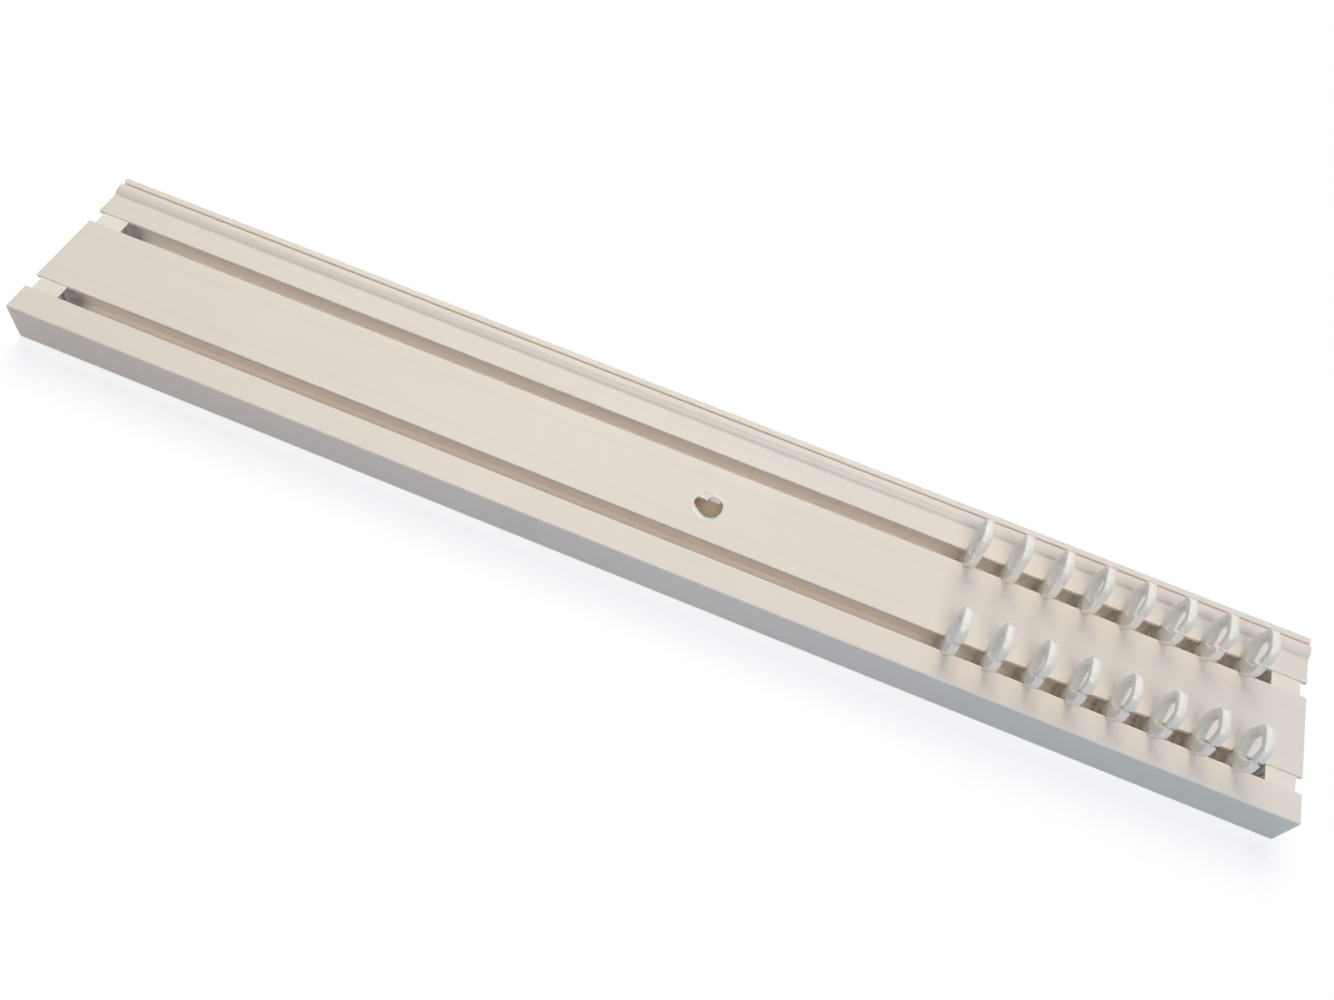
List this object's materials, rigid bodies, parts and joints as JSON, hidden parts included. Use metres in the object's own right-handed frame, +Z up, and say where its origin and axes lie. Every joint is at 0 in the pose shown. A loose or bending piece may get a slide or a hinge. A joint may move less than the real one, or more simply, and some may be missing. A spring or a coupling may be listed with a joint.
{
  "type": "curtain track",
  "caption": "Flat white plastic ceiling curtain track with slotted channels side by side, a beaded edge, sliding moulded hooks with open loops, and end stops.",
  "frame": {"origin": "middle of the mounting back, on the surface that the track lies on", "axes": "+X along the track, +Y towards the beaded edge, +Z up out of the slotted face"},
  "size_m": [0.456, 0.07, 0.0353],
  "materials": {
    "rail_plastic": "satin",
    "stop_plastic": "satin",
    "hook_plastic": "gloss"
  },
  "bodies": {
    "rail": {"rail": "rail_plastic", "stop_front_left": "stop_plastic", "stop_front_right": "stop_plastic", "stop_rear_left": "stop_plastic", "stop_rear_right": "stop_plastic"},
    "hook_front_1": {"hook_front_1": "hook_plastic"},
    "hook_front_2": {"hook_front_2": "hook_plastic"},
    "hook_front_3": {"hook_front_3": "hook_plastic"},
    "hook_front_4": {"hook_front_4": "hook_plastic"},
    "hook_front_5": {"hook_front_5": "hook_plastic"},
    "hook_front_6": {"hook_front_6": "hook_plastic"},
    "hook_front_7": {"hook_front_7": "hook_plastic"},
    "hook_front_8": {"hook_front_8": "hook_plastic"},
    "hook_rear_1": {"hook_rear_1": "hook_plastic"},
    "hook_rear_2": {"hook_rear_2": "hook_plastic"},
    "hook_rear_3": {"hook_rear_3": "hook_plastic"},
    "hook_rear_4": {"hook_rear_4": "hook_plastic"},
    "hook_rear_5": {"hook_rear_5": "hook_plastic"},
    "hook_rear_6": {"hook_rear_6": "hook_plastic"},
    "hook_rear_7": {"hook_rear_7": "hook_plastic"},
    "hook_rear_8": {"hook_rear_8": "hook_plastic"}
  },
  "joints": [
    {"name": "front_draw", "type": "slide", "parent": "rail", "child": "hook_front_8", "axis": [-1, 0, 0], "range_m": [0, 0.32]},
    {"name": "front_follow_7", "type": "slide", "parent": "rail", "child": "hook_front_7", "axis": [-1, 0, 0], "range_m": [0, 0.28]},
    {"name": "front_follow_6", "type": "slide", "parent": "rail", "child": "hook_front_6", "axis": [-1, 0, 0], "range_m": [0, 0.24]},
    {"name": "front_follow_5", "type": "slide", "parent": "rail", "child": "hook_front_5", "axis": [-1, 0, 0], "range_m": [0, 0.2]},
    {"name": "front_follow_4", "type": "slide", "parent": "rail", "child": "hook_front_4", "axis": [-1, 0, 0], "range_m": [0, 0.16]},
    {"name": "front_follow_3", "type": "slide", "parent": "rail", "child": "hook_front_3", "axis": [-1, 0, 0], "range_m": [0, 0.12]},
    {"name": "front_follow_2", "type": "slide", "parent": "rail", "child": "hook_front_2", "axis": [-1, 0, 0], "range_m": [0, 0.08]},
    {"name": "front_follow_1", "type": "slide", "parent": "rail", "child": "hook_front_1", "axis": [-1, 0, 0], "range_m": [0, 0.04]},
    {"name": "rear_draw", "type": "slide", "parent": "rail", "child": "hook_rear_8", "axis": [-1, 0, 0], "range_m": [0, 0.32]},
    {"name": "rear_follow_7", "type": "slide", "parent": "rail", "child": "hook_rear_7", "axis": [-1, 0, 0], "range_m": [0, 0.28]},
    {"name": "rear_follow_6", "type": "slide", "parent": "rail", "child": "hook_rear_6", "axis": [-1, 0, 0], "range_m": [0, 0.24]},
    {"name": "rear_follow_5", "type": "slide", "parent": "rail", "child": "hook_rear_5", "axis": [-1, 0, 0], "range_m": [0, 0.2]},
    {"name": "rear_follow_4", "type": "slide", "parent": "rail", "child": "hook_rear_4", "axis": [-1, 0, 0], "range_m": [0, 0.16]},
    {"name": "rear_follow_3", "type": "slide", "parent": "rail", "child": "hook_rear_3", "axis": [-1, 0, 0], "range_m": [0, 0.12]},
    {"name": "rear_follow_2", "type": "slide", "parent": "rail", "child": "hook_rear_2", "axis": [-1, 0, 0], "range_m": [0, 0.08]},
    {"name": "rear_follow_1", "type": "slide", "parent": "rail", "child": "hook_rear_1", "axis": [-1, 0, 0], "range_m": [0, 0.04]}
  ],
  "couplings": [
    {"joint": "front_follow_7", "follows": "front_draw", "ratio": 0.875},
    {"joint": "front_follow_6", "follows": "front_draw", "ratio": 0.75},
    {"joint": "front_follow_5", "follows": "front_draw", "ratio": 0.625},
    {"joint": "front_follow_4", "follows": "front_draw", "ratio": 0.5},
    {"joint": "front_follow_3", "follows": "front_draw", "ratio": 0.375},
    {"joint": "front_follow_2", "follows": "front_draw", "ratio": 0.25},
    {"joint": "front_follow_1", "follows": "front_draw", "ratio": 0.125},
    {"joint": "rear_follow_7", "follows": "rear_draw", "ratio": 0.875},
    {"joint": "rear_follow_6", "follows": "rear_draw", "ratio": 0.75},
    {"joint": "rear_follow_5", "follows": "rear_draw", "ratio": 0.625},
    {"joint": "rear_follow_4", "follows": "rear_draw", "ratio": 0.5},
    {"joint": "rear_follow_3", "follows": "rear_draw", "ratio": 0.375},
    {"joint": "rear_follow_2", "follows": "rear_draw", "ratio": 0.25},
    {"joint": "rear_follow_1", "follows": "rear_draw", "ratio": 0.125}
  ]
}
